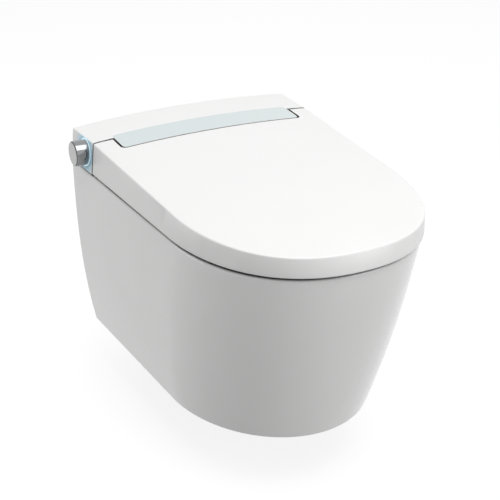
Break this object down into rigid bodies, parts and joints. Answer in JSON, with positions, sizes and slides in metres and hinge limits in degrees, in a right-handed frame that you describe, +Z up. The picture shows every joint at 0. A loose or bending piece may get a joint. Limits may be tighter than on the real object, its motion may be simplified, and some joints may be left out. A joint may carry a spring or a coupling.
{
  "type": "wall-hung bidet toilet",
  "caption": "Wall-hung bidet toilet: D-shaped ceramic pan, crowned lid, heated seat, washing nozzle, air dryer, glass panel and side control knob.",
  "frame": {"origin": "midway between the two wall bolts, on the wall plane", "axes": "+X to the viewer's right, +Y into the wall, +Z up"},
  "size_m": [0.4058, 0.5695, 0.359],
  "materials": {
    "ceramic": "glossy glaze",
    "white_plastic": "satin gloss",
    "panel_glass": "back-painted, glossy",
    "brushed_metal": "brushed face, polished side",
    "light_plastic": "translucent",
    "rubber": "matte",
    "steel": "satin",
    "dark_plastic": "matte",
    "pale_plastic": "matte",
    "circuit": "satin",
    "foil": "satin",
    "brass": "machined"
  },
  "bodies": {
    "pan": {"ceramic_pan": "ceramic", "rear_cover": "white_plastic", "nozzle_shield": "white_plastic", "glass_panel": "panel_glass", "light_ring": "light_plastic", "base_gasket": "rubber", "water_hoses": "rubber", "power_gland": "rubber", "base_bolts": "steel", "cover_screws": "steel", "nozzle_motor": "steel", "fan_motor": "steel", "base_plate": "dark_plastic", "nozzle_housing": "dark_plastic", "fan_housing": "dark_plastic", "dryer_duct": "dark_plastic", "encoder_body": "dark_plastic", "lid_damper": "dark_plastic", "seat_damper": "dark_plastic", "water_pump": "dark_plastic", "bolt_sleeves": "pale_plastic", "water_heater": "pale_plastic", "inlet_valve": "pale_plastic", "deodoriser_filter": "pale_plastic", "display_board": "circuit", "control_board": "circuit", "inlet_fitting": "brass"},
    "lid": {"lid_shell": "white_plastic", "lid_bumpers": "rubber", "lid_shaft": "steel", "lid_bush": "pale_plastic"},
    "seat": {"seat_shell": "white_plastic", "seat_base": "white_plastic", "seat_heater": "foil", "seat_bumpers": "rubber", "seat_shaft": "steel", "seat_bush": "pale_plastic"},
    "knob_slider": {"knob_bush": "pale_plastic"},
    "knob": {"knob_cap": "brushed_metal", "knob_shaft": "steel"},
    "nozzle": {"nozzle_arm": "steel", "nozzle_tip": "pale_plastic"},
    "pinion": {"nozzle_pinion": "pale_plastic"},
    "impeller": {"fan_impeller": "pale_plastic"},
    "flap": {"dryer_flap": "pale_plastic"}
  },
  "joints": [
    {"name": "lid_hinge", "type": "hinge", "parent": "pan", "child": "lid", "pos_m": [0, -0.1, 0.137], "axis": [-1, 0, 0], "range_deg": [0, 100]},
    {"name": "seat_hinge", "type": "hinge", "parent": "pan", "child": "seat", "pos_m": [0, -0.1, 0.137], "axis": [-1, 0, 0], "range_deg": [0, 95]},
    {"name": "knob_push", "type": "slide", "parent": "pan", "child": "knob_slider", "axis": [1, 0, 0], "range_m": [0, 0.0015], "stiffness_N_per_m": 300},
    {"name": "knob_turn", "type": "hinge", "parent": "knob_slider", "child": "knob", "pos_m": [-0.19, -0.055, 0.122], "axis": [-1, 0, 0], "continuous": true},
    {"name": "nozzle_slide", "type": "slide", "parent": "pan", "child": "nozzle", "axis": [0, -0.9397, -0.342], "range_m": [0, 0.1]},
    {"name": "pinion_turn", "type": "hinge", "parent": "pan", "child": "pinion", "pos_m": [0, -0.10063, 0.12136], "axis": [-1, 0, 0], "range_deg": [0, 600]},
    {"name": "fan_spin", "type": "hinge", "parent": "pan", "child": "impeller", "pos_m": [0.1, -0.054, 0.1], "axis": [0, 0, 1], "continuous": true},
    {"name": "flap_swing", "type": "hinge", "parent": "pan", "child": "flap", "pos_m": [0.074, -0.1255, 0.1052], "axis": [-1, 0, 0], "range_deg": [0, 60]}
  ],
  "couplings": [
    {"joint": "seat_hinge", "follows": "lid_hinge", "ratio": 0.95},
    {"joint": "pinion_turn", "follows": "nozzle_slide", "rad_per_m": 104.17}
  ]
}
